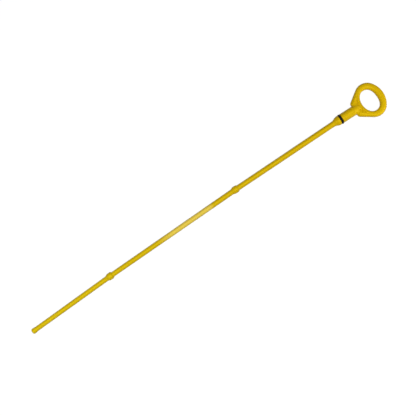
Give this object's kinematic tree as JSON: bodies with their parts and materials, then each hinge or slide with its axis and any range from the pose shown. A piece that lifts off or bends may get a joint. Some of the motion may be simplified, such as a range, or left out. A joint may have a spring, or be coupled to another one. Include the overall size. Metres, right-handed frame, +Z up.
{
  "type": "engine oil dipstick",
  "caption": "Yellow plastic engine oil dipstick: an oval finger ring, a plug sealed by a rubber O-ring, and a long thin round rod with small collars and a swollen tip.",
  "frame": {"origin": "on the surface that the stick lies on, below the middle of its overall box", "axes": "+X runs from the tip to the finger ring, +Y across the ring to the rim that touches the surface, +Z up. The axis of the plug rises towards the ring by half a degree, and the ring is rolled 9.1 degrees about it, as the stick comes to rest."},
  "size_m": [0.4247, 0.037, 0.0111],
  "materials": {
    "yellow_plastic": "moulded yellow nylon with a soft satin shine",
    "seal_rubber": "black nitrile rubber with a thin film of oil"
  },
  "bodies": {
    "root": {"stick": "yellow_plastic", "o_ring": "seal_rubber"}
  },
  "joints": []
}
